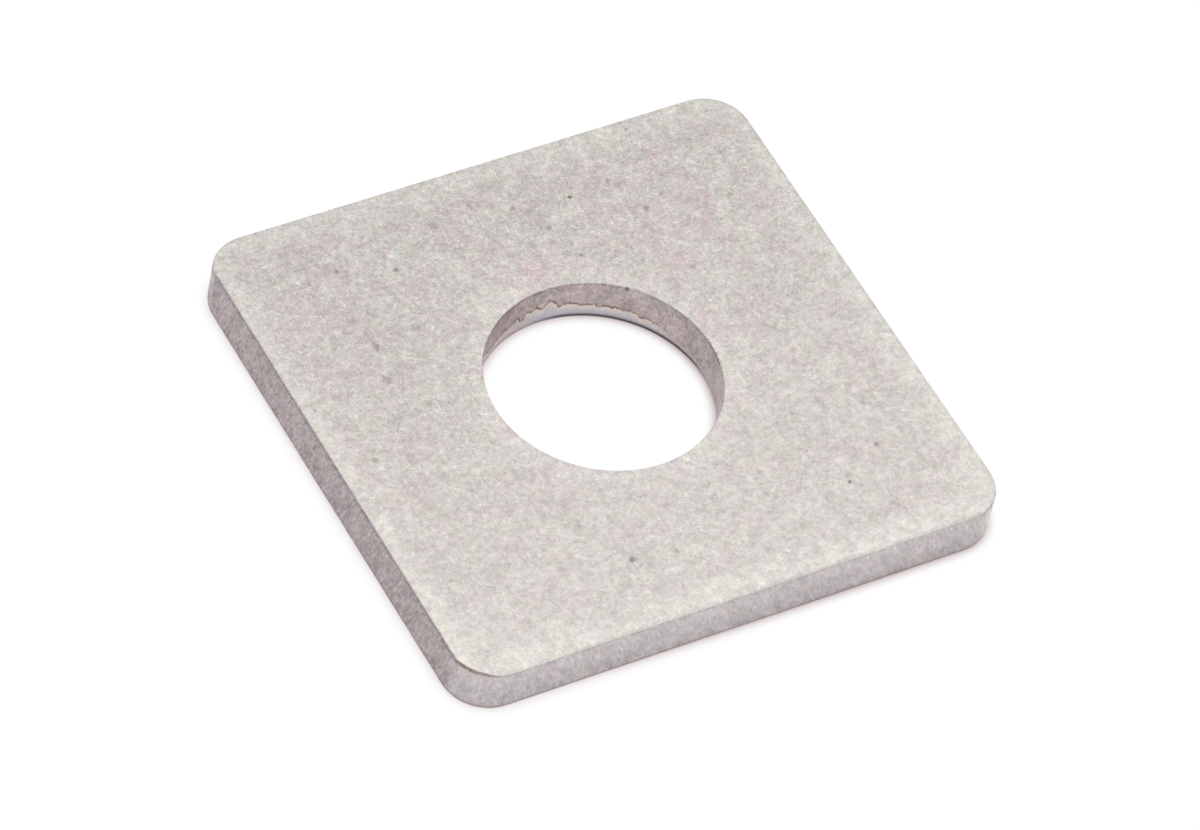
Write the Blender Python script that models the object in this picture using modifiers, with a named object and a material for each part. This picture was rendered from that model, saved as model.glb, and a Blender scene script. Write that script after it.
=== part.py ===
"""Square plate washer for an M12 bolt, stamped from 3 mm stainless sheet and tumbled.

Metres, +Z up. The origin is the middle of the underside, and the face that the punch entered is the top.
"""

import math

import bmesh
import bpy

# Plate
LENGTH = 0.035
WIDTH = 0.034
THICKNESS = 0.003
CORNER_RADIUS = 0.0027
UPPER_EDGE_RADIUS = 0.0003
LOWER_EDGE_RADIUS = 0.00015

# Bolt hole, as the punch and the die leave it
HOLE_DIAMETER = 0.0138
ROLL_WIDTH = 0.0001
ROLL_DEPTH = 0.00015
DIE_CLEARANCE = 0.00005
DIE_OFFSET = 0.000005
DIE_OFFSET_ANGLE = math.radians(95)
BREAK_ANGLE = math.radians(2.3)
BREAK_RAGGEDNESS = 0.30
EXIT_EDGE_RADIUS = 0.00005

# Waves round the hole that make the break line ragged: waves per turn, share of the raggedness, phase
BREAK_WAVES = ((3, 0.22, 2.88), (5, 0.28, 5.85), (13, 0.20, 2.1), (23, 0.16, 5.2), (37, 0.14, 3.3))

# Facets
CORNER_STEPS = 10
EDGE_STEPS = 3
HOLE_STEPS = 144
ROLL_STEPS = 4

# How far the cutter runs past each face of the plate
CUTTER_OVERRUN = 0.001

# Finish
STEEL_COLOUR = (0.60, 0.585, 0.565, 1.0)
STEEL_ROUGHNESS = 0.52

HOLE_RADIUS = HOLE_DIAMETER / 2


def clear_scene():
    for old in list(bpy.data.objects):
        bpy.data.objects.remove(old, do_unlink=True)


def new_collection(name):
    collection = bpy.data.collections.new(name)
    bpy.context.scene.collection.children.link(collection)
    return collection


def tumbled_stainless():
    material = bpy.data.materials.new("tumbled_stainless")
    material.use_nodes = True
    shader = material.node_tree.nodes["Principled BSDF"]
    shader.inputs["Base Color"].default_value = STEEL_COLOUR
    shader.inputs["Metallic"].default_value = 1.0
    shader.inputs["Roughness"].default_value = STEEL_ROUGHNESS
    return material


def edges_where(bm, keep):
    """The edges whose two ends both pass the test."""
    return [edge for edge in bm.edges if all(keep(vert.co) for vert in edge.verts)]


def round_edges(bm, edges, radius, steps):
    bmesh.ops.bevel(bm, geom=edges, offset=radius, segments=steps, profile=0.5, affect="EDGES")


def plate_mesh():
    """The blank: nearly square, with round corners and its upper rim rounder than its lower one."""
    bm = bmesh.new()
    bmesh.ops.create_cube(bm, size=1.0)
    bmesh.ops.scale(bm, vec=(LENGTH, WIDTH, THICKNESS), verts=bm.verts)
    bmesh.ops.translate(bm, vec=(0, 0, THICKNESS / 2), verts=bm.verts)
    upright = [edge for edge in bm.edges if abs(edge.verts[0].co.z - edge.verts[1].co.z) > THICKNESS / 2]
    round_edges(bm, upright, CORNER_RADIUS, CORNER_STEPS)
    middle = THICKNESS / 2
    round_edges(bm, edges_where(bm, lambda co: co.z > middle), UPPER_EDGE_RADIUS, EDGE_STEPS)
    round_edges(bm, edges_where(bm, lambda co: co.z < middle), LOWER_EDGE_RADIUS, EDGE_STEPS)
    mesh = bpy.data.meshes.new("washer_plate")
    bm.to_mesh(mesh)
    bm.free()
    return mesh


def clearance_at(angle):
    """The gap between punch and die on this side of the hole: the die sits a little off the punch's axis."""
    return DIE_CLEARANCE + DIE_OFFSET * math.cos(angle - DIE_OFFSET_ANGLE)


def break_height_at(angle):
    """Where the metal stopped shearing and tore, above the underside: higher where the die gap is wider."""
    waves = sum(share * math.sin(count * angle + phase) for count, share, phase in BREAK_WAVES)
    return clearance_at(angle) / math.tan(BREAK_ANGLE) * (1 + BREAK_RAGGEDNESS * waves)


def bore_profile():
    """Half section of the punched hole, down its outer side: rolled edge, sheared land, break and exit edge."""
    top = THICKNESS + CUTTER_OVERRUN
    points = [(0, top), (HOLE_RADIUS + ROLL_WIDTH, top)]
    for step in range(ROLL_STEPS + 1):
        turn = math.pi / 2 * step / ROLL_STEPS
        out = ROLL_WIDTH * (1 - math.sin(turn))
        points.append((HOLE_RADIUS + out, THICKNESS - ROLL_DEPTH * (1 - math.cos(turn))))
    mean_break = DIE_CLEARANCE / math.tan(BREAK_ANGLE)
    points.append((HOLE_RADIUS, mean_break))
    die_radius = HOLE_RADIUS + DIE_CLEARANCE
    points.append((die_radius, EXIT_EDGE_RADIUS))
    points.append((die_radius + EXIT_EDGE_RADIUS, 0))
    points.append((die_radius + EXIT_EDGE_RADIUS, -CUTTER_OVERRUN))
    points.append((0, -CUTTER_OVERRUN))
    return points, mean_break


def turned(name, points, steps):
    """A closed solid of revolution about Z, as a plain mesh."""
    profile = bpy.data.meshes.new(name + "_profile")
    verts = [(radius, 0, height) for radius, height in points]
    profile.from_pydata(verts, [(i, i + 1) for i in range(len(verts) - 1)], [])
    spun = bpy.data.objects.new(name + "_profile", profile)
    bpy.context.scene.collection.objects.link(spun)
    screw = spun.modifiers.new("turn", "SCREW")
    screw.steps = steps
    screw.render_steps = steps
    screw.use_merge_vertices = True
    screw.merge_threshold = 1e-6
    graph = bpy.context.evaluated_depsgraph_get()
    mesh = bpy.data.meshes.new_from_object(spun.evaluated_get(graph))
    mesh.name = name
    bpy.data.objects.remove(spun, do_unlink=True)
    return mesh


def tear_break(mesh, mean_break):
    """Moves the break ring to its ragged height, and what lies below it to the die's own axis."""
    off_x = DIE_OFFSET * math.cos(DIE_OFFSET_ANGLE)
    off_y = DIE_OFFSET * math.sin(DIE_OFFSET_ANGLE)
    for vert in mesh.vertices:
        if abs(vert.co.z - mean_break) < 1e-7:
            vert.co.z = break_height_at(math.atan2(vert.co.y, vert.co.x))
        elif vert.co.z < mean_break:
            vert.co.x += off_x
            vert.co.y += off_y


def bore_cutter(collection):
    points, mean_break = bore_profile()
    mesh = turned("bore_cutter", points, HOLE_STEPS)
    tear_break(mesh, mean_break)
    mesh.shade_smooth()
    mesh.set_sharp_from_angle(angle=math.radians(30))
    cutter = bpy.data.objects.new("bore_cutter", mesh)
    collection.objects.link(cutter)
    cutter.hide_render = True
    cutter.display_type = "WIRE"
    return cutter


def washer_plate(collection, cutter):
    mesh = plate_mesh()
    mesh.shade_smooth()
    mesh.set_sharp_from_angle(angle=math.radians(40))
    mesh.materials.append(tumbled_stainless())
    plate = bpy.data.objects.new("washer_plate", mesh)
    collection.objects.link(plate)
    punch = plate.modifiers.new("punched_hole", "BOOLEAN")
    punch.operation = "DIFFERENCE"
    punch.solver = "EXACT"
    punch.object = cutter
    return plate


def main():
    clear_scene()
    washer = new_collection("square_plate_washer")
    cutters = new_collection("cutters")
    washer_plate(washer, bore_cutter(cutters))


main()
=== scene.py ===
"""Square plate washer in tumbled stainless steel: the visual model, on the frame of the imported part.

The washer is one skin of ten bands, wound round the plate from the exit edge of the hole, along the
underside, up the walls, in over the top and down the punched hole. Geometry Nodes makes it from the sizes
below. The finish is procedural, in millimetres of the plate itself.
"""

import math

import bpy
from bpy.props import FloatProperty, FloatVectorProperty, IntProperty, PointerProperty
from mathutils import Color, Matrix, Vector


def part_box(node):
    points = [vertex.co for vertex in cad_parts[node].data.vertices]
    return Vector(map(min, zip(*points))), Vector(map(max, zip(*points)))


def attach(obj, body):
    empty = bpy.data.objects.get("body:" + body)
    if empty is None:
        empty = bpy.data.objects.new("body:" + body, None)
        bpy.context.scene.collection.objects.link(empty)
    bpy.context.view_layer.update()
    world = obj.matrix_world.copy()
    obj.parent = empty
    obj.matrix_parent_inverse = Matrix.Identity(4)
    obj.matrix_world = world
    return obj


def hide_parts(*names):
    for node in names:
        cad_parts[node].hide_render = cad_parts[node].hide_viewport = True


bl_info = {
    "name": "Square Plate Washer",
    "version": (1, 0, 0),
    "blender": (4, 5, 0),
    "location": "3D View > Sidebar > Washer",
    "description": "Makes a punched and tumbled square plate washer and the stage it lies on",
    "category": "Add Mesh",
}

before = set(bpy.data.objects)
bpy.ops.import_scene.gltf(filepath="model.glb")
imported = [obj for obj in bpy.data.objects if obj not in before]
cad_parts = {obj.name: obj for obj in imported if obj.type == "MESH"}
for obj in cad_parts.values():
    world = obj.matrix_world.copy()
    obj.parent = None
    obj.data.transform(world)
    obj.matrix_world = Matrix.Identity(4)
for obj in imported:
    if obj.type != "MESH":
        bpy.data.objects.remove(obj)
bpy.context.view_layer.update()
plate_low, plate_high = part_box("washer_plate")

MM = 0.001

# The land ends this far above the torn ledge, so that the ledge isn't level
LAND_LIFT = 0.01 * MM
# Points of neighbouring bands that lie closer than this are the same point
MERGE_DISTANCE = 0.001 * MM
# The floor lies this far under the plate
FLOOR_GAP = 0.01 * MM
# Share of the floor's green, of its blue and of its whole brightness that the full contact shadow takes
SHADOW_GREEN = 0.28
SHADOW_BLUE = 0.25
SHADOW_DEPTH = 0.86
KEY_LAMP_PLACE = (0.22, 0.26, 0.92)
KEY_LAMP_SIZE = 0.25
PIT_COLOUR = (0.16, 0.13, 0.11, 1.0)

# Waves round the hole that make the break line ragged: waves per turn, share of the raggedness, phase
BREAK_WAVES = (
    (3, 0.22, 2.88),
    (5, 0.28, 5.85),
    (13, 0.20, 2.1),
    (23, 0.16, 5.2),
    (37, 0.14, 3.3),
)

# Steps torn in the break line: degrees round from +X, height above the underside in mm.
# The camera sees those from 15 to 128 degrees, and the others are guesses.
TORN_STEPS = (
    (-45.0, 0.60), (-30.0, 0.50), (-12.0, 0.42), (-4.0, 0.48), (6.0, 0.40),
    (14.0, 0.46), (21.0, 0.44), (25.5, 0.55), (28.6, 0.75), (32.3, 0.88),
    (35.6, 0.88), (40.1, 0.79), (42.6, 0.94), (46.3, 1.02), (51.3, 0.94),
    (55.3, 1.01), (59.2, 1.01), (63.5, 1.00), (68.4, 1.02), (73.4, 1.10),
    (78.0, 1.22), (80.9, 1.15), (81.3, 1.00), (85.8, 1.71), (87.3, 1.65),
    (88.4, 1.49), (90.5, 1.13), (94.2, 1.49), (95.7, 1.36), (96.8, 1.30),
    (99.5, 1.49), (100.7, 0.89), (103.2, 0.97), (104.6, 1.29), (108.6, 1.11),
    (114.4, 0.93), (118.9, 0.93), (123.5, 0.85), (128.5, 0.80),
)

# The angles between which the steps count, and the most that one can lie off the part's own line, in mm
TORN_FROM = math.radians(-70)
TORN_TO = math.radians(136)
TORN_REACH = 1.0

# Specks of the top face: x, y and radius in mm, how dark, how brown
FACE_SPECKS = (
    (4.58, 12.66, 0.16, 0.85, 0.2),
    (8.38, 10.33, 0.24, 0.50, 0.3),
    (2.30, 10.99, 0.22, 0.40, 0.3),
    (10.20, 16.17, 0.16, 0.50, 0.2),
    (1.78, 12.50, 0.20, 0.25, 0.3),
    (1.05, 13.11, 0.22, 0.28, 0.3),
    (3.07, 8.49, 0.14, 0.58, 0.4),
    (7.30, 13.02, 0.20, 0.44, 0.3),
    (8.80, 5.38, 0.25, 0.22, 0.8),
    (13.50, 9.40, 0.25, 0.20, 0.6),
    (9.75, 11.01, 0.15, 0.42, 0.2),
    (-4.86, -12.38, 0.26, 0.50, 0.5),
    (-4.95, -12.52, 0.14, 0.40, 1.0),
    (-2.22, -12.82, 0.24, 0.38, 0.5),
    (-11.42, -10.15, 0.14, 0.20, 0.4),
    (12.27, -10.24, 0.24, 0.48, 1.0),
    (9.42, -12.07, 0.15, 0.72, 0.9),
    (2.89, -8.12, 0.14, 0.20, 0.8),
    (5.34, -13.90, 0.30, 0.15, 0.7),
    (-10.75, 12.49, 0.22, 0.40, 0.2),
    (-7.51, 11.36, 0.19, 0.60, 0.2),
    (-3.96, 13.57, 0.38, 0.31, 0.8),
    (-11.17, 6.74, 0.30, 0.36, 0.4),
    (-11.25, 6.50, 0.20, 0.22, 1.0),
    (-11.72, 8.86, 0.40, 0.18, 0.5),
    (-8.48, 7.08, 0.38, 0.20, 0.4),
    (-11.68, 4.25, 0.38, 0.38, 0.9),
    (-16.60, 3.74, 0.14, 0.40, 0.4),
    (-15.03, -0.73, 0.26, 0.42, 0.8),
    (-13.18, -5.78, 0.20, 0.16, 0.5),
    (-10.35, 1.87, 0.30, 0.15, 0.6),
)

# Specks of the hole: x, y, z and radius in mm, how dark, how brown
HOLE_SPECKS = (
    (4.42, 5.32, 2.85, 0.16, 0.80, 0.2),
    (0.90, 6.85, 2.60, 0.14, 0.45, 0.3),
    (6.85, -0.90, 2.95, 0.14, 0.50, 0.9),
    (6.70, -1.60, 2.92, 0.12, 0.45, 0.9),
    (6.94, -0.10, 2.95, 0.10, 0.45, 0.8),
)


class Maker:
    """Adds nodes to a tree. A call feeds its nodes' inputs and returns the output asked for."""

    def __init__(self, tree):
        self.tree = tree

    def feed(self, socket, value):
        if isinstance(value, bpy.types.NodeSocket):
            self.tree.links.new(value, socket)
        elif isinstance(value, Color):
            socket.default_value = (*value, 1.0)
        else:
            socket.default_value = value

    def add(self, kind, inputs=(), out=0, **settings):
        node = self.tree.nodes.new(kind)
        for name, value in settings.items():
            setattr(node, name, value)
        pairs = inputs.items() if isinstance(inputs, dict) else enumerate(inputs)
        for key, value in pairs:
            self.feed(node.inputs[key], value)
        return node.outputs[out]

    def math(self, operation, *values):
        return self.add("ShaderNodeMath", values, operation=operation)

    def plus(self, first, *rest):
        total = first
        for value in rest:
            total = self.math("ADD", total, value)
        return total

    def minus(self, a, b):
        return self.math("SUBTRACT", a, b)

    def times(self, first, *rest):
        total = first
        for value in rest:
            total = self.math("MULTIPLY", total, value)
        return total

    def clamped(self, value):
        return self.add("ShaderNodeClamp", {0: value})

    def vector(self, operation, *values):
        out = 1 if operation in ("LENGTH", "DOT_PRODUCT", "DISTANCE") else 0
        return self.add("ShaderNodeVectorMath", values, out, operation=operation)

    def scaled(self, vector, amount):
        return self.add("ShaderNodeVectorMath", {0: vector, 3: amount}, operation="SCALE")

    def combined(self, x, y, z):
        return self.add("ShaderNodeCombineXYZ", (x, y, z))

    def parts(self, vector):
        node = self.tree.nodes.new("ShaderNodeSeparateXYZ")
        self.feed(node.inputs[0], vector)
        return node.outputs[0], node.outputs[1], node.outputs[2]

    def between(self, factor, a, b):
        return self.add("ShaderNodeMix", {0: factor, 2: a, 3: b}, data_type="FLOAT", clamp_factor=True)

    def blended(self, factor, a, b):
        return self.add("ShaderNodeMix", {0: factor, 6: a, 7: b}, 2, data_type="RGBA", clamp_factor=True)

    def ramp(self, value, low, high, to_low=0.0, to_high=1.0, way="SMOOTHSTEP"):
        """value, mapped from low..high to to_low..to_high and held at both ends."""
        inputs = {0: value, 1: low, 2: high, 3: to_low, 4: to_high}
        return self.add("ShaderNodeMapRange", inputs, interpolation_type=way)

    def fall(self, value, low, high):
        """1 up to low, falling to 0 at high."""
        return self.ramp(value, low, high, 1.0, 0.0)

    def line(self, value, at, half_width):
        """1 where value is at, fading to 0 at half_width either side."""
        return self.fall(self.math("ABSOLUTE", self.minus(value, at)), 0.0, half_width)

    def noise(self, place, scale, detail=2.0, roughness=0.5, shift=0.0, stretch=(1.0, 1.0, 1.0)):
        """Noise from 0 to 1, where scale is in patches per unit of place."""
        moved = self.vector("MULTIPLY_ADD", place, stretch, (shift, shift * 1.7, shift * 0.6))
        inputs = {"Vector": moved, "Scale": scale, "Detail": detail, "Roughness": roughness}
        return self.add("ShaderNodeTexNoise", inputs)

    def swing(self, *place_and_pattern, **settings):
        """Noise from -0.5 to 0.5, with the arguments of noise."""
        return self.minus(self.noise(*place_and_pattern, **settings), 0.5)

    def stored(self, mesh, name, value):
        """The mesh with a number kept at each of its points."""
        inputs = {"Geometry": mesh, "Name": name, "Value": value}
        return self.add("GeometryNodeStoreNamedAttribute", inputs, data_type="FLOAT", domain="POINT")

    def group(self, tree, inputs, kind="GeometryNodeGroup"):
        return self.add(kind, inputs, node_tree=tree)


FLOAT = "NodeSocketFloat"
INTEGER = "NodeSocketInt"
VECTOR = "NodeSocketVector"
GEOMETRY = "NodeSocketGeometry"


def new_tree(name, inputs, output, kind="GeometryNodeTree"):
    """A node group. An input is the name of a number, or a name, a kind of socket and maybe a default.

    Returns the tree, its maker, its given inputs and what leaves it.
    """
    tree = bpy.data.node_groups.new(name, kind)
    for given in inputs:
        label, socket_type, *default = (given, FLOAT) if isinstance(given, str) else given
        socket = tree.interface.new_socket(label, in_out="INPUT", socket_type=socket_type)
        if default:
            socket.default_value = default[0]
    label, socket_type = output
    tree.interface.new_socket(label, in_out="OUTPUT", socket_type=socket_type)
    entry = tree.nodes.new("NodeGroupInput")
    leave = tree.nodes.new("NodeGroupOutput")
    return tree, Maker(tree), entry.outputs, leave.inputs


def break_height_at(hole, angle):
    """Height in metres of the break line by the rule of the part, without the steps torn in it."""
    clearance = hole.die_clearance + hole.die_offset * math.cos(angle - hole.die_offset_angle)
    waves = sum(share * math.sin(count * angle + phase) for count, share, phase in BREAK_WAVES)
    return clearance / math.tan(hole.break_angle) * (1 + hole.raggedness * waves)


def outline_rail():
    """A point of the rounded rectangle round the plate, from its share of a turn. Inset moves it inwards."""
    inputs = ("Turn", "Half Length", "Half Width", "Corner Radius", "Inset", "Height")
    tree, m, given, leave = new_tree("outline rail", inputs, ("Point", VECTOR))
    radius = given["Corner Radius"]
    quarters = m.times(given["Turn"], 4.0)
    side = m.math("FLOOR", m.plus(quarters, 0.5))
    within = m.minus(quarters, side)
    odd = m.math("FLOORED_MODULO", side, 2.0)
    out_half = m.between(odd, given["Half Length"], given["Half Width"])
    along_half = m.between(odd, given["Half Width"], given["Half Length"])
    straight = m.minus(along_half, radius)
    whole = m.plus(m.times(straight, 2.0), m.times(radius, math.pi / 2))
    run = m.times(within, whole)
    along = m.math("MINIMUM", m.math("MAXIMUM", run, m.times(straight, -1.0)), straight)
    bend = m.math("DIVIDE", m.minus(run, along), radius)
    reach = m.minus(radius, given["Inset"])
    x = m.plus(m.minus(out_half, radius), m.times(m.math("COSINE", bend), reach))
    y = m.plus(along, m.times(m.math("SINE", bend), reach))
    point = m.combined(x, y, given["Height"])
    turned = {"Vector": point, "Angle": m.times(side, math.pi / 2)}
    m.feed(leave[0], m.add("ShaderNodeVectorRotate", turned, rotation_type="Z_AXIS"))
    return tree


def bore_rail():
    """A point on a circle of the hole, from its angle. Offset moves the circle as the die is moved."""
    inputs = ("Angle", "Radius", "Height", ("Offset", VECTOR))
    tree, m, given, leave = new_tree("bore rail", inputs, ("Point", VECTOR))
    x = m.times(m.math("COSINE", given["Angle"]), given["Radius"])
    y = m.times(m.math("SINE", given["Angle"]), given["Radius"])
    m.feed(leave[0], m.vector("ADD", m.combined(x, y, given["Height"]), given["Offset"]))
    return tree


def break_height(hole):
    """Height of the break line at an angle: the part's rule, the torn steps and a fine tooth."""
    inputs = ("Angle", "Tooth")
    tree, m, given, leave = new_tree("break height", inputs, ("Height", FLOAT))
    angle = given["Angle"]
    waves = 0.0
    for count, share, phase in BREAK_WAVES:
        wave = m.math("SINE", m.plus(m.times(angle, float(count)), phase))
        waves = m.plus(waves, m.times(wave, share))
    swing = m.times(m.math("COSINE", m.minus(angle, hole.die_offset_angle)), hole.die_offset)
    clearance = m.plus(swing, hole.die_clearance)
    mean = m.times(clearance, 1 / math.tan(hole.break_angle))
    ruled = m.times(mean, m.plus(m.times(waves, hole.raggedness), 1.0))
    node = tree.nodes.new("ShaderNodeFloatCurve")
    m.feed(node.inputs["Value"], m.ramp(angle, TORN_FROM, TORN_TO, way="LINEAR"))
    curve = node.mapping.curves[0]
    span = TORN_TO - TORN_FROM
    curve.points[0].location = (0.0, 0.5)
    curve.points[1].location = (1.0, 0.5)
    for degrees, height in TORN_STEPS:
        at = math.radians(degrees)
        apart = height - break_height_at(hole, at) / MM
        point = curve.points.new((at - TORN_FROM) / span, 0.5 + apart / (2 * TORN_REACH))
        point.handle_type = "VECTOR"
    node.mapping.update()
    torn = m.times(m.minus(node.outputs[0], 0.5), 2 * TORN_REACH * MM)
    round_place = m.combined(m.math("COSINE", angle), m.math("SINE", angle), 0.0)
    fine = m.swing(round_place, 26.0, 4.0, 0.7)
    m.feed(leave[0], m.plus(ruled, torn, m.times(fine, 2.0, given["Tooth"])))
    return tree


def section_band():
    """One band of the washer's skin: a grid bent between two rails, with its two attributes stored."""
    counts = (("Columns", INTEGER), ("Rows", INTEGER))
    inputs = (*counts, ("Start", VECTOR), ("End", VECTOR), "Across", "Up", "Wall", "Bore")
    tree, m, given, leave = new_tree("section band", inputs, ("Mesh", GEOMETRY))
    grid = {
        "Size X": 1.0,
        "Size Y": 1.0,
        "Vertices X": m.plus(given["Columns"], 1.0),
        "Vertices Y": m.plus(given["Rows"], 1.0),
    }
    skin = m.add("GeometryNodeMeshGrid", grid)
    for name in ("Wall", "Bore"):
        skin = m.stored(skin, name.lower(), given[name])
    apart = m.vector("SUBTRACT", given["End"], given["Start"])
    bent = m.combined(given["Across"], given["Across"], given["Up"])
    placed = {"Geometry": skin, "Position": m.vector("MULTIPLY_ADD", apart, bent, given["Start"])}
    m.feed(leave[0], m.add("GeometryNodeSetPosition", placed))
    return tree


def worn_depth(m, skin, place, height_gap, wall, bore, wear, given):
    """How far each point of the skin lies under the perfect shape, in metres."""
    slow = m.times(m.noise(place, 0.16, 2.0), wear.waviness)
    ripple = m.times(m.noise(place, 0.9, 2.0, shift=11.0), wear.waviness * 0.45)
    streaks = m.noise(place, 1.0, 3.0, 0.6, shift=5.0, stretch=(3.0, 3.0, 0.4))
    wall_marks = m.times(wall, streaks, wear.wall_marks)
    rim = m.times(wall, m.minus(1.0, wall), 4.0)
    nibbles = m.ramp(m.noise(place, 1.5, 3.0, 0.6, shift=23.0), 0.45, 0.8)
    rim_marks = m.times(rim, nibbles, wear.rim_marks)
    land = m.times(bore, m.ramp(height_gap, 0.0, 0.05))
    drawn = m.noise(place, 1.0, 2.0, shift=31.0, stretch=(5.0, 5.0, 0.35))
    land_marks = m.times(land, drawn, wear.land_marks)
    torn = m.times(bore, m.fall(height_gap, -0.05, 0.0))
    grains = m.noise(place, 4.5, 3.0, 0.65, shift=41.0, stretch=(1.0, 1.0, 0.6))
    torn_marks = m.times(torn, grains, wear.torn_marks)
    scatter = {"Mesh": skin, "Density": wear.ding_density / MM**2, "Seed": given["Seed"]}
    points = m.add("GeometryNodeDistributePointsOnFaces", scatter)
    apart = m.add("GeometryNodeProximity", {"Target": points}, 1, target_element="POINTS")
    dings = m.times(m.fall(apart, 0.0, wear.ding_radius), wear.ding_depth)
    return m.plus(slow, ripple, wall_marks, rim_marks, land_marks, torn_marks, dings)


def washer_tree(plate, hole, wear):
    """The whole washer as one Geometry Nodes tree."""
    inputs = (
        ("Columns", INTEGER, plate.columns),
        ("Length", FLOAT, plate.length),
        ("Width", FLOAT, plate.width),
        ("Thickness", FLOAT, plate.thickness),
        ("Corner Radius", FLOAT, plate.corner_radius),
        ("Upper Edge Radius", FLOAT, plate.upper_edge_radius),
        ("Lower Edge Radius", FLOAT, plate.lower_edge_radius),
        ("Hole Diameter", FLOAT, hole.diameter),
        ("Roll Width", FLOAT, hole.roll_width),
        ("Roll Depth", FLOAT, hole.roll_depth),
        ("Exit Edge Radius", FLOAT, hole.exit_edge_radius),
        ("Break Ledge", FLOAT, hole.break_ledge),
        ("Seed", INTEGER, wear.seed),
        ("Finish", "NodeSocketMaterial"),
    )
    tree, m, given, leave = new_tree("plate washer", inputs, ("Washer", GEOMETRY))
    heights = break_height(hole)
    outline = outline_rail()
    circle = bore_rail()
    band = section_band()

    # A flat band is 1 by 1 round its middle: turn goes round the washer, and rise from one rail to the next
    turn, y, _ = m.parts(m.add("GeometryNodeInputPosition"))
    rise = m.plus(y, 0.5)
    # The angle runs from -180 to 180 degrees, as the part's own does
    angle = m.times(turn, 2 * math.pi)
    half_length = m.times(given["Length"], 0.5)
    half_width = m.times(given["Width"], 0.5)
    thickness = given["Thickness"]
    upper = given["Upper Edge Radius"]
    lower = given["Lower Edge Radius"]
    radius = m.times(given["Hole Diameter"], 0.5)
    exit_edge = given["Exit Edge Radius"]
    die_radius = m.plus(radius, hole.die_clearance)
    die_offset = Vector((math.cos(hole.die_offset_angle), math.sin(hole.die_offset_angle), 0.0))
    die_offset *= hole.die_offset

    def on_outline(inset, height):
        around = (turn, half_length, half_width, given["Corner Radius"], inset, height)
        return m.group(outline, around)

    def on_circle(ring, height, offset=(0.0, 0.0, 0.0)):
        return m.group(circle, (angle, ring, height, offset))

    tear = m.group(heights, {"Angle": angle, "Tooth": hole.tooth})
    rails = {
        "exit": on_circle(m.plus(die_radius, exit_edge), 0.0, die_offset),
        "die": on_circle(die_radius, exit_edge, die_offset),
        "torn": on_circle(m.plus(radius, given["Break Ledge"]), tear),
        "sheared": on_circle(radius, m.plus(tear, LAND_LIFT)),
        "rolled": on_circle(radius, m.minus(thickness, given["Roll Depth"])),
        "rim": on_circle(m.plus(radius, given["Roll Width"]), thickness),
        "top": on_outline(upper, thickness),
        "shoulder": on_outline(0.0, m.minus(thickness, upper)),
        "foot": on_outline(0.0, lower),
        "sole": on_outline(lower, 0.0),
    }

    bend = m.times(rise, math.pi / 2)
    sine = m.math("SINE", bend)
    less_cosine = m.minus(1.0, m.math("COSINE", bend))
    straight = (rise, rise)
    leaves_flat = (sine, less_cosine)
    leaves_upright = (less_cosine, sine)
    fading = m.minus(1.0, rise)
    # From rail, to rail, rows, how the rows bend across and up, and the two attributes wall and bore
    bands = (
        ("exit", "sole", 24, straight, 0.0, 0.0),
        ("sole", "foot", 3, leaves_flat, rise, 0.0),
        ("foot", "shoulder", 14, straight, 1.0, 0.0),
        ("shoulder", "top", 6, leaves_upright, fading, 0.0),
        ("top", "rim", 56, straight, 0.0, 0.0),
        ("rim", "rolled", 7, leaves_flat, 0.0, rise),
        ("rolled", "sheared", 14, straight, 0.0, 1.0),
        ("sheared", "torn", 2, straight, 0.0, 1.0),
        ("torn", "die", 14, straight, 0.0, 1.0),
        ("die", "exit", 3, leaves_upright, 0.0, fading),
    )
    joined = tree.nodes.new("GeometryNodeJoinGeometry")
    for start, end, rows, (across, up), wall, bore in bands:
        made = m.group(band, (given["Columns"], rows, rails[start], rails[end], across, up, wall, bore))
        tree.links.new(made, joined.inputs[0])
    skin = m.add("GeometryNodeMergeByDistance", {"Geometry": joined.outputs[0], "Distance": MERGE_DISTANCE})

    here = m.add("GeometryNodeInputPosition")
    px, py, pz = m.parts(here)
    point_angle = m.math("ARCTAN2", py, px)
    point_tear = m.group(heights, {"Angle": point_angle, "Tooth": hole.tooth})
    gap = m.times(m.minus(pz, point_tear), 1 / MM)
    skin = m.stored(skin, "break_gap", gap)

    place = m.scaled(here, 1 / MM)
    attributes = (
        m.add("GeometryNodeInputNamedAttribute", {"Name": name}, data_type="FLOAT")
        for name in ("break_gap", "wall", "bore")
    )
    depth = worn_depth(m, skin, place, *attributes, wear, given)
    normal = m.add("GeometryNodeInputNormal")
    inward = m.scaled(normal, m.times(depth, -1.0))
    skin = m.add("GeometryNodeSetPosition", {"Geometry": skin, "Offset": inward})
    skin = m.add("GeometryNodeSetShadeSmooth", {"Geometry": skin})
    skin = m.add("GeometryNodeSetMaterial", {"Geometry": skin, "Material": given["Finish"]})
    m.feed(leave[0], skin)
    return tree


def scattered_cells(m, given, y_share, z_share):
    """The cells that marks are scattered in. Returns the place in them and their node."""
    shift = m.combined(given["Shift"], m.times(given["Shift"], y_share), m.times(given["Shift"], z_share))
    spread = m.vector("ADD", m.scaled(given["Place"], given["Cells"]), shift)
    cells = m.tree.nodes.new("ShaderNodeTexVoronoi")
    m.feed(cells.inputs["Vector"], spread)
    m.feed(cells.inputs["Scale"], 1.0)
    return spread, cells


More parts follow.
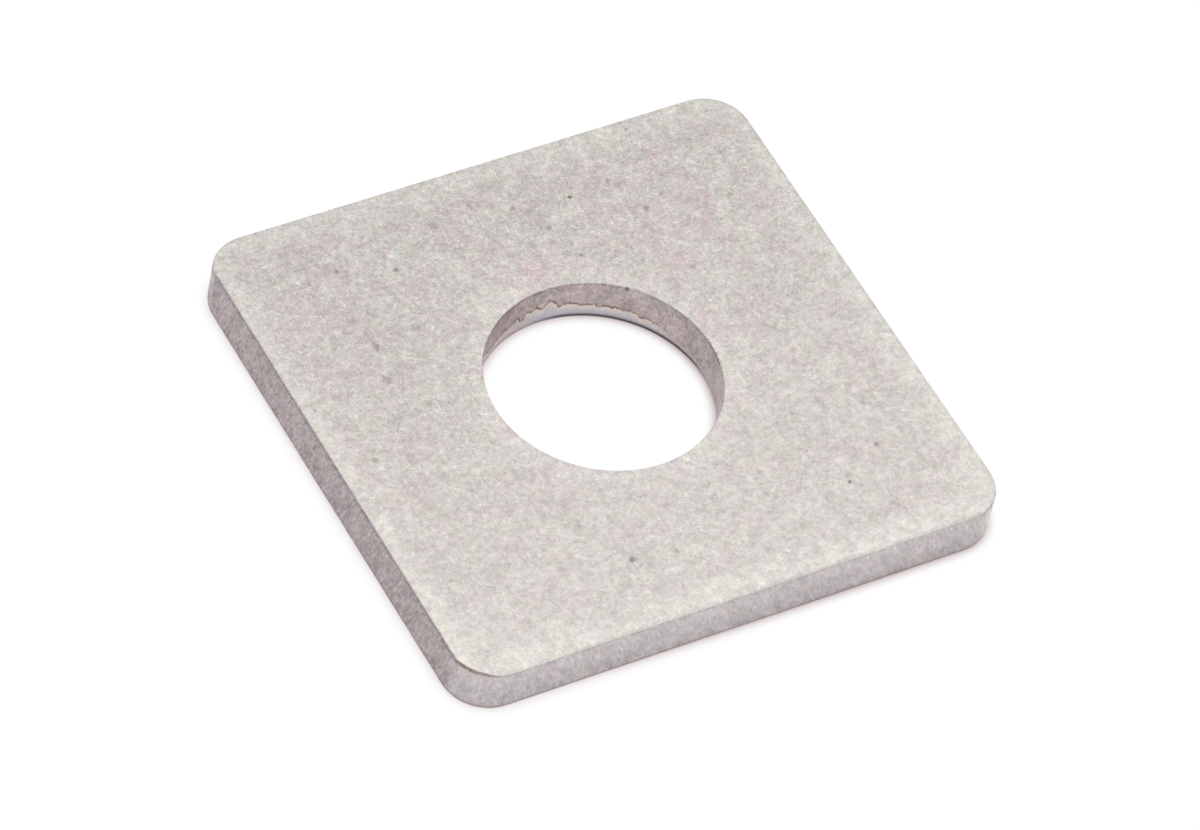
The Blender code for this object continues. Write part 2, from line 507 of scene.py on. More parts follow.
def hair_scratch():
    """One layer of fine scratches: each cell holds one short straight stroke, turned at random."""
    stroke = ("Share", "Half Width", "Half Length")
    inputs = (("Place", VECTOR), ("Normal", VECTOR), "Cells", *stroke, "Shift")
    tree, m, given, leave = new_tree("hair scratches", inputs, ("Mark", FLOAT), "ShaderNodeTree")
    spread, cells = scattered_cells(m, given, 2.3, 0.7)
    away = m.vector("SUBTRACT", spread, cells.outputs["Position"])
    lift = m.vector("DOT_PRODUCT", away, given["Normal"])
    flat = m.vector("SUBTRACT", away, m.scaled(given["Normal"], lift))
    chance = m.vector("SUBTRACT", cells.outputs["Color"], (0.5, 0.5, 0.5))
    run = m.vector("NORMALIZE", m.vector("CROSS_PRODUCT", given["Normal"], chance))
    over = m.vector("CROSS_PRODUCT", given["Normal"], run)
    along = m.math("ABSOLUTE", m.math("DIVIDE", m.vector("DOT_PRODUCT", flat, run), given["Cells"]))
    aside = m.math("ABSOLUTE", m.math("DIVIDE", m.vector("DOT_PRODUCT", flat, over), given["Cells"]))
    red, green, blue = m.parts(cells.outputs["Color"])
    length = m.times(given["Half Length"], m.plus(m.times(red, 0.8), 0.4))
    width = m.times(given["Half Width"], m.plus(m.times(green, 0.8), 0.5))
    core = m.fall(aside, 0.0, width)
    body = m.times(core, m.fall(along, m.times(length, 0.5), length))
    kept = m.math("LESS_THAN", m.math("FRACT", m.times(blue, 7.3)), given["Share"])
    strength = m.plus(m.times(m.math("FRACT", m.times(green, 5.1)), 0.7), 0.3)
    m.feed(leave[0], m.times(body, kept, strength))
    return tree


def small_pits():
    """One layer of round pits: some cells hold one."""
    inputs = (("Place", VECTOR), "Cells", "Share", "Radius", "Shift")
    tree, m, given, leave = new_tree("small pits", inputs, ("Mark", FLOAT), "ShaderNodeTree")
    _, cells = scattered_cells(m, given, 1.9, 0.3)
    red, _, blue = m.parts(cells.outputs["Color"])
    apart = m.math("DIVIDE", cells.outputs["Distance"], given["Cells"])
    radius = m.times(given["Radius"], m.plus(red, 0.5))
    kept = m.math("LESS_THAN", m.math("FRACT", m.times(blue, 9.7)), given["Share"])
    m.feed(leave[0], m.times(m.fall(apart, m.times(radius, 0.3), radius), kept))
    return tree


class Skin:
    """What the finish is drawn on: the place in millimetres, the normal and the skin's own attributes."""

    def __init__(self, m):
        coordinates = m.tree.nodes.new("ShaderNodeTexCoord")
        self.normal = coordinates.outputs["Normal"]
        self.place = m.scaled(coordinates.outputs["Object"], 1 / MM)
        self.x, self.y, self.z = m.parts(self.place)
        self.nx, self.ny, _ = m.parts(self.normal)
        self.wall, self.bore, self.gap = (
            m.add("ShaderNodeAttribute", (), 2, attribute_name=name) for name in ("wall", "bore", "break_gap")
        )
        self.radius = m.vector("LENGTH", m.combined(self.x, self.y, 0.0))
        self.angle = m.times(m.math("ARCTAN2", self.y, self.x), 180 / math.pi)
        across = m.math("ABSOLUTE", self.nx)
        both = m.plus(across, m.math("ABSOLUTE", self.ny), 0.0001)
        self.facing_x = m.math("DIVIDE", across, both)
        self.facing_left = m.times(m.ramp(self.facing_x, 0.70, 0.96), m.math("LESS_THAN", self.nx, 0.0))


def tumbling_hairs(m, skin):
    """Returns the light and the dark hair scratches. The light ones carry painted glints."""
    hairs = hair_scratch()

    def layer(cells, share, half_width, half_length, shift, place):
        drawn = (place, skin.normal, cells, share, half_width, half_length, shift)
        return m.group(hairs, drawn, kind="ShaderNodeGroup")

    sway = {"Vector": skin.place, "Scale": 0.7, "Detail": 1.0}
    swayed = m.vector("SUBTRACT", m.add("ShaderNodeTexNoise", sway, 1), (0.5, 0.5, 0.5))
    bent = m.vector("ADD", skin.place, m.scaled(swayed, 0.5))
    # The light scratches are painted glints on the scratch grooves
    light = m.plus(
        layer(0.55, 0.75, 0.050, 0.75, 0.0, bent),
        layer(0.85, 0.80, 0.045, 0.50, 31.0, bent),
        layer(1.30, 0.80, 0.045, 0.34, 47.0, bent),
        layer(1.90, 0.85, 0.045, 0.24, 59.0, skin.place),
    )
    dark = m.plus(
        layer(0.80, 0.50, 0.04, 0.45, 71.0, bent),
        layer(1.70, 0.75, 0.045, 0.25, 83.0, skin.place),
    )
    return light, dark


def face_finish(m, skin, finish, glinting_scratches, dark_hair, plate):
    """Faces: mauve and paler patches under soft mottling, a fine grain and hair scratches, the light ones
    with painted glints.

    Returns the colour, the mottling and the grain.
    """
    place = skin.place
    # How mauve: in patches, a little more on the far side, and hardly at the edges
    wide_patch = m.times(m.noise(place, 0.45, 3.0, 0.6), 0.6)
    small_patch = m.times(m.noise(place, 1.3, 2.0, shift=7.0), 0.4)
    patch = m.plus(wide_patch, small_patch, m.times(skin.y, 0.0015))
    strength = m.ramp(skin.y, -13.0, 7.0, 0.6, 1.0)
    share = m.plus(m.times(m.minus(m.ramp(patch, 0.43, 0.66), 0.3), strength), 0.3)
    yellow = m.ramp(m.noise(place, 1.5, 3.0, 0.7, shift=19.0), 0.3, 0.7, 1.03, 0.97)
    inset_x = m.minus(plate.length / MM / 2, m.math("ABSOLUTE", skin.x))
    inset_y = m.minus(plate.width / MM / 2, m.math("ABSOLUTE", skin.y))
    near_edge = m.fall(m.math("MINIMUM", inset_x, inset_y), 0.3, 2.7)
    share = m.between(m.times(near_edge, 0.85), share, 0.0)
    tinted = m.blended(share, finish.cool_face, finish.warm_face)
    slow = m.swing(place, 0.3, 2.0, shift=3.0)
    soft = m.swing(place, 1.1, 2.0, 0.6, shift=9.0)
    fine = m.swing(place, 2.6, 2.0, 0.7, shift=11.0)
    grain = m.swing(place, 6.5, 2.0, 0.8, shift=13.0)
    mottle = m.plus(m.times(slow, 0.35), m.times(soft, 1.2), m.times(fine, 1.9))
    near_hole = m.fall(skin.radius, 7.3, 9.0)
    margin = m.times(m.plus(near_edge, m.times(near_hole, 0.7)), m.plus(m.times(soft, 0.7), 1.0))
    # Lighter margins from wear, plus painted shade that darkens the faces towards the back
    wear_and_painted_shade = m.plus(m.times(margin, 1.85), m.times(skin.y, -0.085))
    tinted = m.vector("MULTIPLY", tinted, m.combined(1.0, 1.0, yellow))
    # The grain and the scratches are softer on the near side
    fineness = m.ramp(skin.y, -15.0, 12.0, 0.70, 1.12)
    level = m.plus(
        1.0,
        m.times(mottle, finish.mottling),
        m.times(grain, finish.grain, fineness),
        # Painted glints on the light scratches
        m.times(glinting_scratches, finish.scratch_glint, fineness, m.between(near_edge, 1.0, 0.5)),
        m.times(dark_hair, -finish.scratch_dark),
        m.times(wear_and_painted_shade, finish.edge_wear_and_shade),
    )
    return m.scaled(tinted, level), mottle, grain


def wall_finish(m, skin, finish, tones, grain, glinting_scratches):
    """Outer walls: streaked by the shears, with painted shade that darkens them towards the foot and a thin
    line of painted shade along the foot.

    Returns the colour and the streaks.
    """
    x, y, z, left = skin.x, skin.y, skin.z, skin.facing_left
    slant = m.combined(m.plus(x, m.times(z, 0.35)), m.plus(y, m.times(z, 0.35)), z)
    blotch = m.swing(slant, 1.0, 4.0, 0.65, shift=5.0, stretch=(1.1, 1.1, 0.5))
    streak = m.swing(slant, 1.0, 3.0, 0.65, shift=15.0, stretch=(4.5, 4.5, 0.7))
    amount = m.between(left, 1.0, 1.7)
    streaks = m.times(m.plus(blotch, m.times(streak, 1.6)), amount)
    # Painted shade: the walls darken towards the foot, the left one only slightly
    level = m.plus(
        m.ramp(z, 0.0, 3.0, m.between(left, 0.87, 1.00), 1.06, way="LINEAR"),
        m.times(streaks, finish.wall_streaks),
        m.times(grain, finish.grain, m.between(left, 0.6, 1.4)),
        # Painted glints on the light scratches
        m.times(glinting_scratches, finish.scratch_glint * 0.6),
    )
    # Painted shade: the left wall is a darker copy of the wall colour
    base = m.blended(left, finish.wall_colour, finish.left_wall_shade)
    # Painted light: the right corner is paler
    right = m.times(m.ramp(skin.nx, 0.30, 0.68), m.ramp(skin.nx, 0.93, 1.0, 1.0, 0.4))
    base = m.blended(right, base, finish.right_corner_light)
    # Painted shade: the far left corner darkens towards its foot
    far_corner = m.times(m.ramp(skin.ny, 0.10, 0.50), m.fall(skin.nx, -0.80, -0.02))
    fading = m.between(far_corner, 1.0, m.ramp(z, 0.2, 3.2, 0.62, 1.0))
    walls = m.vector("MULTIPLY", m.scaled(base, m.times(level, fading)), tones)
    # Painted shade: a thin dark line along the foot of the walls, where they meet the floor
    foot = m.times(m.fall(z, 0.10, 0.34), m.ramp(skin.wall, 0.3, 0.8))
    foot = m.times(foot, m.plus(m.between(left, 0.38, 0.45), m.times(blotch, 0.8)))
    foot = m.times(foot, m.between(left, m.ramp(x, -9.0, 4.0, 1.25, 0.4), 1.0))
    return m.blended(foot, walls, finish.foot_shade_line), streaks


def bore_finish(m, skin, finish, tones, grain):
    """Hole: blotchy drawn land, a brown line of painted shade along the break, paler torn steel and a dark
    line of painted shade at the exit edge.

    Returns the colour and the marks.
    """
    place, z, angle = skin.place, skin.z, skin.angle
    # gap is the height over the break line in mm: land above it, torn steel below
    jag = m.times(m.swing(place, 5.5, 3.0, 0.7, shift=33.0), 0.5)
    gap = m.plus(skin.gap, jag)
    blotch = m.swing(place, 1.0, 4.0, 0.7, shift=21.0, stretch=(0.8, 0.8, 0.7))
    drawn = m.swing(place, 1.0, 3.0, 0.75, shift=25.0, stretch=(3.6, 3.6, 2.6))
    marks = m.plus(m.times(blotch, 0.8), m.times(drawn, 0.9), m.times(grain, 0.9))
    # Painted shade: the land is darker just under the rim
    under_rim_shade = m.times(m.line(z, 2.86, 0.16), -0.16)
    lower = m.times(m.fall(gap, 0.0, 0.9), -0.05)
    left = m.ramp(angle, 92.0, 108.0)
    paler = m.times(m.ramp(angle, 15.0, 32.0), m.ramp(angle, 88.0, 97.0, 0.09, 0.0))
    land_level = m.plus(1.0, m.times(marks, finish.land_blotches), under_rim_shade, lower, paler)
    land = m.blended(left, finish.land_colour, finish.land_left)
    land = m.scaled(land, land_level)

    right = m.fall(angle, 22.0, 40.0)
    torn = m.blended(m.ramp(gap, -0.65, -0.1, 0.0, 1.0), finish.torn_low, finish.torn_high)
    torn = m.blended(m.times(right, 0.7), torn, finish.torn_right)
    torn = m.blended(m.times(left, 0.8), torn, finish.torn_left)
    torn = m.scaled(torn, m.plus(1.0, m.times(marks, 0.25)))
    edge = m.between(right, 0.04, 0.22)
    torn_share = m.math("DIVIDE", m.plus(gap, edge), m.times(edge, 2.0))
    hole = m.blended(m.clamped(torn_share), torn, land)

    # Painted shade: a brown line along the break, where the land overhangs the torn steel
    patchy = m.ramp(m.noise(place, 1.6, 2.0, 0.6, shift=37.0), 0.3, 0.6, 0.35, 1.0)
    break_shade_patches = m.times(m.ramp(angle, 22.0, 44.0), patchy, m.ramp(angle, 104.0, 122.0, 1.0, 0.3))
    hole = m.blended(m.times(m.line(gap, 0.05, 0.19), break_shade_patches, 0.95), hole, finish.break_shade_line)
    # Painted shade: a dark line at the hole's exit edge, where the plate meets the floor
    turned = m.times(m.ramp(angle, -4.0, 12.0), m.ramp(angle, 78.0, 96.0, 1.0, 0.25))
    hole = m.blended(m.times(m.fall(z, 0.10, 0.36), turned), hole, finish.exit_shade_line)
    return m.vector("MULTIPLY", hole, tones), marks


def crease_shade_line(m, skin, surface, finish):
    """Painted shade: the thin dark line on the rounded upper edge, where the walls meet the top."""
    left = skin.facing_left
    # It is brown and unbroken round the near left corner, and brown round the right one
    near = m.times(
        m.ramp(skin.nx, -0.95, -0.82),
        m.fall(skin.nx, -0.40, -0.10),
        m.fall(skin.ny, -0.2, 0.0),
    )
    whole = m.math("MAXIMUM", near, left)
    waver = m.between(whole, 0.8, 0.35)
    wander = m.times(m.swing(skin.place, 2.2, 3.0, 0.65, shift=43.0), waver)
    least = m.between(whole, 0.35, 0.8)
    patchy = m.ramp(m.noise(skin.place, 1.1, 4.0, 0.7, shift=51.0), 0.35, 0.62, least, 1.1)
    upper = m.ramp(skin.z, 2.2, 2.6)
    strength = m.times(m.between(m.ramp(skin.facing_x, 0.04, 0.3), 0.50, 1.0), patchy, upper)
    # How far round the upper edge it lies: 0 is the top and 1 the wall
    at = m.between(near, m.between(left, 0.75, 0.38), 0.50)
    line = m.line(m.plus(skin.wall, wander), at, m.between(near, 0.24, 0.42))
    depth = m.between(left, m.ramp(skin.x, -6.0, 12.0, 0.45, 0.28), 0.40)
    turned_right = m.times(m.ramp(skin.nx, 0.10, 0.32), m.fall(skin.ny, -0.35, -0.10))
    depth = m.plus(depth, m.times(near, 0.40), m.times(turned_right, 0.42))
    brown_share = m.plus(near, m.times(turned_right, 0.6))
    colour = m.blended(brown_share, finish.crease_shade_line, finish.crease_shade_brown)
    return m.blended(m.times(line, strength, depth), surface, colour)


def speckled(m, skin, surface, grain):
    """The single specks that show on the face and in the hole."""
    top = plate_high.z / MM
    face_specks = ((x, y, top, *look) for x, y, *look in FACE_SPECKS)
    for x, y, z, radius, dark, brown in (*face_specks, *HOLE_SPECKS):
        apart = m.vector("DISTANCE", skin.place, (x, y, z))
        ragged = m.plus(apart, m.times(grain, radius * 0.9))
        mark = m.ramp(ragged, radius * 0.25, radius * 1.25, dark, 0.0)
        colour = (0.12 + 0.05 * brown, 0.11 + 0.01 * brown, 0.10 - 0.04 * brown, 1.0)
        surface = m.blended(mark, surface, colour)
    return surface


def tumbled_stainless(plate, finish):
    """Matt tumbled stainless steel: warm grey faces, darker sheared walls and the hole's own bands, with
    painted shade, painted light and painted glints.
    """
    material = bpy.data.materials.new("tumbled_stainless")
    material.use_nodes = True
    tree = material.node_tree
    tree.nodes.clear()
    m = Maker(tree)
    skin = Skin(m)
    glinting_scratches, dark_hair = tumbling_hairs(m, skin)
    face, mottle, grain = face_finish(m, skin, finish, glinting_scratches, dark_hair, plate)
    tints = {"Vector": skin.place, "Scale": 2.2, "Detail": 3.0, "Roughness": 0.6}
    tones = m.add("ShaderNodeTexNoise", tints, 1)
    tones = m.vector("MULTIPLY_ADD", tones, (0.15, 0.0, 0.13), (0.925, 1.0, 0.935))
    walls, streaks = wall_finish(m, skin, finish, tones, grain, glinting_scratches)
    hole, marks = bore_finish(m, skin, finish, tones, grain)

    # On the left the wall's darker colour, painted shade, reaches up the rounded edge, on the other sides it
    # starts lower
    start = m.between(skin.facing_left, 0.50, 0.08)
    wall_share = m.clamped(m.math("DIVIDE", m.minus(skin.wall, start), 0.24))
    surface = m.blended(wall_share, face, walls)
    surface = crease_shade_line(m, skin, surface, finish)
    nibbled = m.plus(skin.bore, m.times(m.swing(skin.place, 2.4, 3.0, 0.7, shift=61.0), 0.9))
    surface = m.blended(m.ramp(nibbled, 0.30, 0.70), surface, hole)
    surface = speckled(m, skin, surface, grain)

    dots = small_pits()

    def pits(cells, share, radius, shift):
        return m.group(dots, (skin.place, cells, share, radius, shift), kind="ShaderNodeGroup")

    pit = m.math("MINIMUM", m.plus(pits(0.55, 0.22, 0.09, 3.0), pits(1.3, 0.10, 0.055, 9.0)), 1.0)
    surface = m.blended(m.times(pit, finish.pit_darkness), surface, PIT_COLOUR)

    rough = m.plus(
        finish.roughness,
        m.times(mottle, 0.08),
        m.times(skin.wall, 0.04),
        m.times(glinting_scratches, -0.05),
    )
    height = m.plus(
        mottle,
        m.times(grain, 0.6),
        m.times(streaks, skin.wall, 0.9),
        m.times(marks, skin.bore, 0.9),
    )
    bump = m.add("ShaderNodeBump", {"Strength": 1.0, "Distance": finish.relief, "Height": height})
    shader = tree.nodes.new("ShaderNodeBsdfPrincipled")
    shader.inputs["Metallic"].default_value = 1.0
    m.feed(shader.inputs["Base Color"], surface)
    m.feed(shader.inputs["Roughness"], m.clamped(rough))
    m.feed(shader.inputs["Normal"], bump)
    output = tree.nodes.new("ShaderNodeOutputMaterial")
    tree.links.new(shader.outputs[0], output.inputs["Surface"])
    return material


def set_inputs(modifier, tree, values):
    """Gives a Geometry Nodes modifier its values, each by the name of its input."""
    for item in tree.interface.items_tree:
        if item.in_out == "INPUT" and item.name in values:
            modifier[item.identifier] = values[item.name]


def plain_mesh(obj):
    """The evaluated mesh of an object, with its modifiers removed."""
    graph = bpy.context.evaluated_depsgraph_get()
    mesh = bpy.data.meshes.new_from_object(obj.evaluated_get(graph))
    obj.modifiers.clear()
    obj.data = mesh
    return mesh


def enclosed_volume(mesh):
    """Volume in cubic metres, below zero where the skin is inside out."""
    mesh.calc_loop_triangles()
    corners = mesh.vertices
    total = 0.0
    for triangle in mesh.loop_triangles:
        a, b, c = (corners[i].co for i in triangle.vertices)
        total += a.dot(b.cross(c))
    return total / 6


def a_number(name, description, number, unit="NONE"):
    return FloatProperty(name=name, description=description, default=number, unit=unit)


def a_length(name, description, metres):
    return a_number(name, description, metres, "LENGTH")


def an_angle(name, description, degrees):
    return FloatProperty(name=name, description=description, default=math.radians(degrees), subtype="ANGLE")


def a_share(name, description, share):
    return FloatProperty(name=name, description=description, default=share, subtype="FACTOR")


def a_colour(name, description, colour):
    return FloatVectorProperty(
        name=name, description=description, default=colour, subtype="COLOR", min=0.0, max=1.0
    )


class PlateSizes(bpy.types.PropertyGroup):
    """Sizes of the plate."""

    length: a_length("Length", "Long side of the plate, along X", plate_high.x - plate_low.x)
    width: a_length("Width", "Short side of the plate, along Y", plate_high.y - plate_low.y)
    thickness: a_length("Thickness", "Thickness of the sheet", plate_high.z - plate_low.z)
    corner_radius: a_length("Corner Radius", "Radius of the four corners, seen from above", 2.7 * MM)
    upper_edge_radius: a_length("Upper Edge Radius", "Round of the outer edge on the top", 0.3 * MM)
    lower_edge_radius: a_length("Lower Edge Radius", "Round of the outer edge below", 0.15 * MM)
    columns: IntProperty(name="Columns", description="Faces in one turn round the plate", default=640)


class HoleSizes(bpy.types.PropertyGroup):
    """Sizes of the punched hole."""

    diameter: a_length("Diameter", "Diameter of the sheared land", 13.8 * MM)
    roll_width: a_length("Roll Width", "How far the rolled edge reaches over the top", 0.1 * MM)
    roll_depth: a_length("Roll Depth", "How far the rolled edge reaches down the hole", 0.15 * MM)
    die_clearance: a_length("Die Clearance", "Gap between punch and die", 0.05 * MM)
    die_offset: a_length("Die Offset", "How far the die sits off the axis of the punch", 0.005 * MM)
    die_offset_angle: an_angle("Die Offset Angle", "Direction in which the die is off, from +X", 95)
    break_angle: an_angle("Break Angle", "Slope of the torn part of the hole", 2.3)
    raggedness: a_share("Raggedness", "Share of its height by which the break line waves", 0.30)
    tooth: a_length("Tooth", "Height of the fine teeth in the break line", 0.35 * MM)
    break_ledge: a_length("Break Ledge", "Width of the small step under the land", 0.02 * MM)
    exit_edge_radius: a_length("Exit Edge Radius", "Round of the hole's lower edge", 0.05 * MM)


class SurfaceWear(bpy.types.PropertyGroup):
    """How far tumbling and handling moved the surface. Every mark goes into the steel."""

    seed: IntProperty(name="Seed", description="Places the dings", default=7)
    waviness: a_length("Waviness", "Depth of the slow waves in the faces", 0.012 * MM)
    wall_marks: a_length("Wall Marks", "Depth of the shears' streaks on the walls", 0.012 * MM)
    rim_marks: a_length("Rim Marks", "Depth of the nibbles along the outer edges", 0.03 * MM)
    land_marks: a_length("Land Marks", "Depth of the punch's lines down the hole", 0.008 * MM)
    torn_marks: a_length("Torn Marks", "Depth of the grain of the torn part of the hole", 0.05 * MM)
    ding_density: a_number("Ding Density", "Dings in a square millimetre", 0.02)
    ding_radius: a_length("Ding Radius", "Radius of a ding", 0.5 * MM)
    ding_depth: a_length("Ding Depth", "Depth of a ding", 0.012 * MM)


class SteelFinish(bpy.types.PropertyGroup):
    """Colours of the steel and of painted shade and light, and the strength of its marks."""

    warm_face: a_colour("Warm Face", "Mauve patches of the faces", (0.612, 0.534, 0.539))
    cool_face: a_colour("Cool Face", "Paler patches of the faces", (0.621, 0.598, 0.564))
    wall_colour: a_colour("Walls", "Sheared outer walls", (0.582, 0.538, 0.542))
    # Painted shade of the left wall
    left_wall_shade: a_colour("Left Wall", "The darker, streaked wall on the left", (0.430, 0.377, 0.382))
    # Painted light on the right corner
    right_corner_light: a_colour("Right Corner", "Paler wall at the right corner", (0.755, 0.705, 0.665))
    # Painted shade of the rounded upper edge, brown at two corners
    crease_shade_line: a_colour("Crease Line", "Thin line between a wall and the top", (0.15, 0.13, 0.13))
    crease_shade_brown: a_colour("Crease Shade Brown", "The same line at two of the corners", (0.20, 0.12, 0.095))
    # Painted shade along the foot of the walls
    foot_shade_line: a_colour("Foot Line", "Thin line along the foot of the walls", (0.20, 0.115, 0.102))
    land_colour: a_colour("Land", "Sheared part of the hole", (0.475, 0.412, 0.405))
    land_left: a_colour("Land Left", "Sheared part of the hole, left side", (0.405, 0.332, 0.322))
    torn_high: a_colour("Torn High", "Torn part of the hole, under the line", (0.73, 0.645, 0.605))
    torn_low: a_colour("Torn Low", "Torn part of the hole, at its foot", (0.56, 0.545, 0.585))
    torn_right: a_colour("Torn Right", "Torn part of the hole, right side", (0.56, 0.50, 0.50))
    torn_left: a_colour("Torn Left", "Torn part of the hole, left side", (0.575, 0.495, 0.480))
    # Painted shade along the break line
    break_shade_line: a_colour("Break Line", "Ragged line where the steel tore", (0.205, 0.115, 0.085))
    # Painted shade at the hole's exit edge
    exit_shade_line: a_colour("Exit Line", "Edge of the hole on the underside", (0.13, 0.125, 0.145))
    roughness: a_share("Roughness", "Roughness of the faces", 0.60)
    mottling: a_number("Mottling", "Strength of the soft light and dark patches", 0.39)
    grain: a_number("Grain", "Strength of the fine grain", 0.64)
    # Painted glints on the light scratches
    scratch_glint: a_number("Light Scratches", "Strength of the light scratches", 0.22)
    scratch_dark: a_number("Dark Scratches", "Strength of the dark scratches", 0.20)
    # Also scales the painted shade that darkens the faces towards the back
    edge_wear_and_shade: a_number("Edge Wear", "How much lighter the faces' margins are", 0.05)
    wall_streaks: a_number("Wall Streaks", "Strength of the streaks on the walls", 0.5)
    land_blotches: a_number("Land Blotches", "Strength of the blotches in the hole", 1.3)
    pit_darkness: a_number("Pit Darkness", "Strength of the small pits", 0.5)
    relief: a_length("Relief", "Depth that the fine marks are shaded with", 0.008 * MM)


class StudioStage(bpy.types.PropertyGroup):
    """Floor, light and camera."""

    floor_size: a_length("Floor Size", "Side of the floor", 6.0)
    floor_shade: a_number("Floor Shade", "Share of the floor's white that wide shadows can take", 0.10)
    floor_glow: a_number("Floor White", "Share of the white that only the contact shadow takes", 0.95)
    contact_reach: a_length("Contact Reach", "Width of the contact shadow", 0.85 * MM)
    contact_shade: a_number("Contact Shade", "Strength of the contact shadow", 1.2)
    surround: a_number("Surround", "Level of the plain surrounding light", 0.60)
    key_power: a_number("Key Power", "Power of the soft lamp over the plate", 0.6, "POWER")
    azimuth: an_angle("Azimuth", "Camera's direction round the plate", -37.921)
    elevation: an_angle("Elevation", "Camera's angle above the floor", 49.264)
    roll: an_angle("Roll", "Camera's tilt", 12.631)
    distance: a_length("Distance", "From the camera to the top face", 0.408685)
    aside: a_length("Aside", "How far the plate's middle lies right of the view's", 0.2106 * MM)
    above: a_length("Above", "How far the plate's middle lies above the view's", 2.2485 * MM)
    lens: a_number("Lens", "Focal length", 216.0, "CAMERA")


class WASHER_OT_plate(bpy.types.Operator):
    """Make the punched and tumbled plate"""

    bl_idname = "washer.plate"
    bl_label = "Make the Plate"

    def execute(self, context):
        scene = context.scene
        plate, hole, wear = scene.washer_sizes, scene.washer_hole, scene.washer_wear
        material = tumbled_stainless(plate, scene.washer_finish)
        tree = washer_tree(plate, hole, wear)
        obj = bpy.data.objects.new("tumbled_plate", bpy.data.meshes.new("tumbled_plate"))
        scene.collection.objects.link(obj)
        modifier = obj.modifiers.new("plate washer", "NODES")
        modifier.node_group = tree
        set_inputs(modifier, tree, {"Columns": plate.columns, "Finish": material})
        mesh = plain_mesh(obj)
        if enclosed_volume(mesh) <= 0:
            raise RuntimeError("the plate's skin is inside out")
        mesh.set_sharp_from_angle(angle=math.radians(40))
        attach(obj, "root")
        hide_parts("washer_plate")
        return {"FINISHED"}


def seen_white(m):
    """1 for rays from the camera and for those that metal or glass sends on."""
    path = m.tree.nodes.new("ShaderNodeLightPath").outputs
    either = m.math("MAXIMUM", path["Is Camera Ray"], path["Is Glossy Ray"])
    return m.math("MAXIMUM", either, path["Is Transmission Ray"])


def white_floor(stage):
    """The floor's material: white to look at, with a share that the plate's shadow can darken."""
    material = bpy.data.materials.new("white_floor")
    material.use_nodes = True
    tree = material.node_tree
    tree.nodes.clear()
    m = Maker(tree)
    shade = stage.floor_shade
    matt = m.add("ShaderNodeBsdfDiffuse", {"Color": (shade, shade, shade, 1.0)})
    near = tree.nodes.new("ShaderNodeAmbientOcclusion")
    near.samples = 16
    near.inputs["Distance"].default_value = stage.contact_reach
    covered = m.minus(1.0, near.outputs["AO"])
    x, _, _ = m.parts(tree.nodes.new("ShaderNodeTexCoord").outputs["Object"])
    # The contact shadow is fainter along the left side than along the right one
    heavier = m.ramp(x, -17.0 * MM, 8.0 * MM, 0.65, 1.55)
    contact = m.clamped(m.times(covered, covered, stage.contact_shade, heavier))
    green = m.plus(1.0, m.times(contact, -SHADOW_GREEN))
    blue = m.plus(1.0, m.times(contact, -SHADOW_BLUE))
    tint = m.scaled(m.combined(1.0, green, blue), m.plus(1.0, m.times(contact, -SHADOW_DEPTH)))
    strength = m.times(seen_white(m), stage.floor_glow)
    glow = m.add("ShaderNodeEmission", {"Color": tint, "Strength": strength})
    output = tree.nodes.new("ShaderNodeOutputMaterial")
    tree.links.new(m.add("ShaderNodeAddShader", (matt, glow)), output.inputs["Surface"])
    material.cycles.emission_sampling = "NONE"
    return material


def soft_surround(scene, stage):
    """Plain light from all round, seen as white."""
    world = bpy.data.worlds.new("soft_surround")
    world.use_nodes = True
    tree = world.node_tree
    tree.nodes.clear()
    m = Maker(tree)
    level = m.between(seen_white(m), stage.surround, 1.0)
    back = m.add("ShaderNodeBackground", {"Color": (1.0, 1.0, 1.0, 1.0), "Strength": level})
    output = tree.nodes.new("ShaderNodeOutputWorld")
    tree.links.new(back, output.inputs["Surface"])
    world.cycles.sampling_method = "NONE"
    scene.world = world


def soft_lamp(scene, name, place, size, power):
    """A square area lamp at a place, facing the plate."""
    light = bpy.data.lights.new(name, "AREA")
    light.energy = power
    light.size = size
    lamp = bpy.data.objects.new(name, light)
    lamp.location = place
    lamp.rotation_mode = "QUATERNION"
    lamp.rotation_quaternion = Vector(place).to_track_quat("Z", "Y")
    scene.collection.objects.link(lamp)


def photo_camera(scene, stage, target):
    """The camera, from its angles round the middle of the top face."""
    a, e = stage.azimuth, stage.elevation
    back = Vector((math.sin(a) * math.cos(e), -math.cos(a) * math.cos(e), math.sin(e)))
    level_right = Vector((math.cos(a), math.sin(a), 0.0))
    level_up = back.cross(level_right)
    right = level_right * math.cos(stage.roll) + level_up * math.sin(stage.roll)
    up = level_up * math.cos(stage.roll) - level_right * math.sin(stage.roll)
    data = bpy.data.cameras.new("photo_camera")
    data.sensor_fit = "HORIZONTAL"
    data.sensor_width = 36.0
    data.lens = stage.lens
    data.clip_start = 0.01
    data.clip_end = 20.0
    camera = bpy.data.objects.new("photo_camera", data)
    turned = Matrix((right, up, back)).transposed().to_4x4()
    place = target + back * stage.distance - right * stage.aside - up * stage.above
    camera.matrix_world = Matrix.Translation(place) @ turned
    scene.collection.objects.link(camera)
    scene.camera = camera


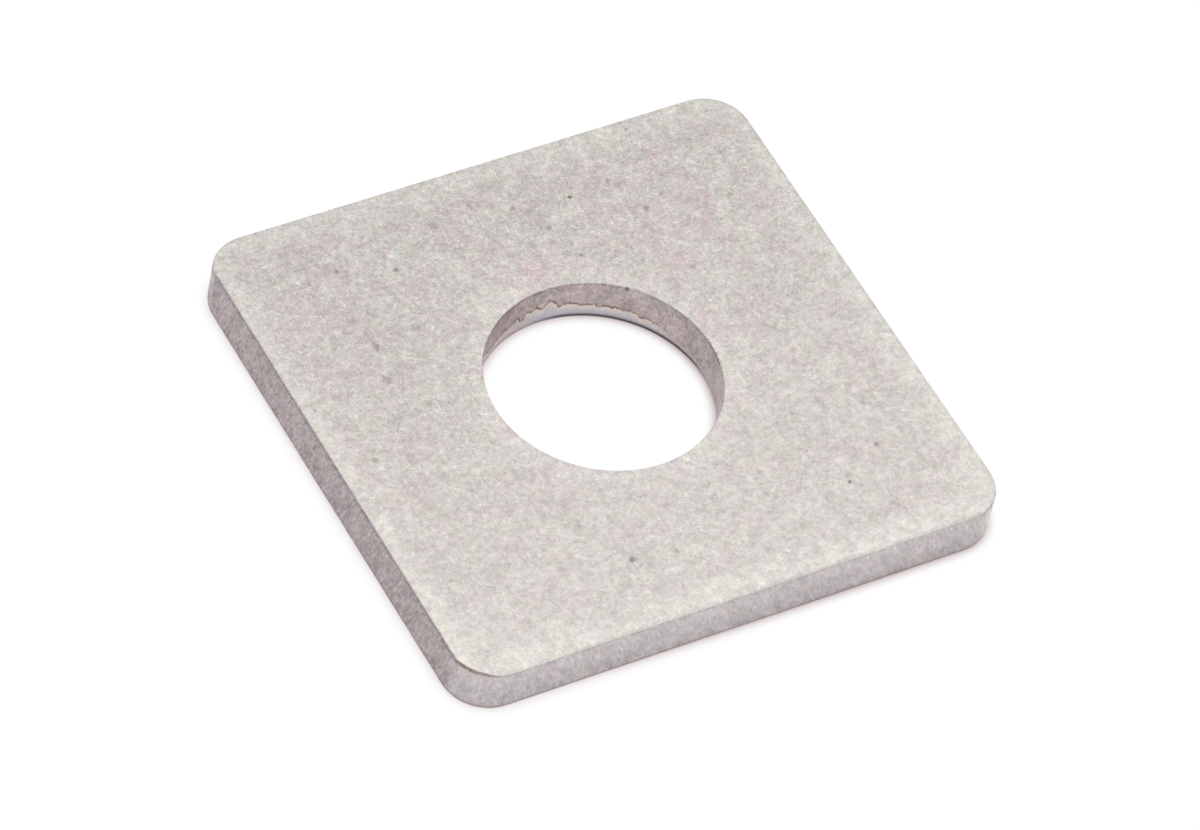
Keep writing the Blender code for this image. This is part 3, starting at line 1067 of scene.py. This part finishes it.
class WASHER_OT_stage(bpy.types.Operator):
    """Set the white floor, the light and the camera"""

    bl_idname = "washer.stage"
    bl_label = "Set the Stage"

    def execute(self, context):
        scene = context.scene
        stage = scene.washer_stage
        half = stage.floor_size / 2
        level = plate_low.z - FLOOR_GAP
        corners = [(-half, -half, level), (half, -half, level), (half, half, level), (-half, half, level)]
        mesh = bpy.data.meshes.new("floor")
        mesh.from_pydata(corners, [], [(0, 1, 2, 3)])
        mesh.materials.append(white_floor(stage))
        floor = bpy.data.objects.new("floor", mesh)
        scene.collection.objects.link(floor)
        soft_surround(scene, stage)
        soft_lamp(scene, "key_lamp", KEY_LAMP_PLACE, KEY_LAMP_SIZE, stage.key_power)
        photo_camera(scene, stage, Vector((0.0, 0.0, plate_high.z)))
        scene.view_settings.view_transform = "Standard"
        return {"FINISHED"}


class WASHER_PT_panel(bpy.types.Panel):
    """Sizes and makers of the washer"""

    bl_idname = "WASHER_PT_panel"
    bl_label = "Plate Washer"
    bl_space_type = "VIEW_3D"
    bl_region_type = "UI"
    bl_category = "Washer"

    def draw(self, context):
        scene = context.scene
        for title, name, _ in GROUPS:
            box = self.layout.box()
            box.label(text=title)
            settings = getattr(scene, name)
            for item in settings.bl_rna.properties.keys():
                if item not in ("rna_type", "name"):
                    box.prop(settings, item)
        self.layout.operator("washer.plate")
        self.layout.operator("washer.stage")


GROUPS = (
    ("Plate", "washer_sizes", PlateSizes),
    ("Hole", "washer_hole", HoleSizes),
    ("Wear", "washer_wear", SurfaceWear),
    ("Finish", "washer_finish", SteelFinish),
    ("Stage", "washer_stage", StudioStage),
)
CLASSES = (*(group for _, _, group in GROUPS), WASHER_OT_plate, WASHER_OT_stage, WASHER_PT_panel)


def register():
    for cls in CLASSES:
        bpy.utils.register_class(cls)
    for _, name, group in GROUPS:
        setattr(bpy.types.Scene, name, PointerProperty(type=group))


def unregister():
    for _, name, _ in reversed(GROUPS):
        delattr(bpy.types.Scene, name)
    for cls in reversed(CLASSES):
        bpy.utils.unregister_class(cls)


def main():
    register()
    bpy.ops.washer.plate()
    bpy.ops.washer.stage()


if __name__ == "__main__":
    main()
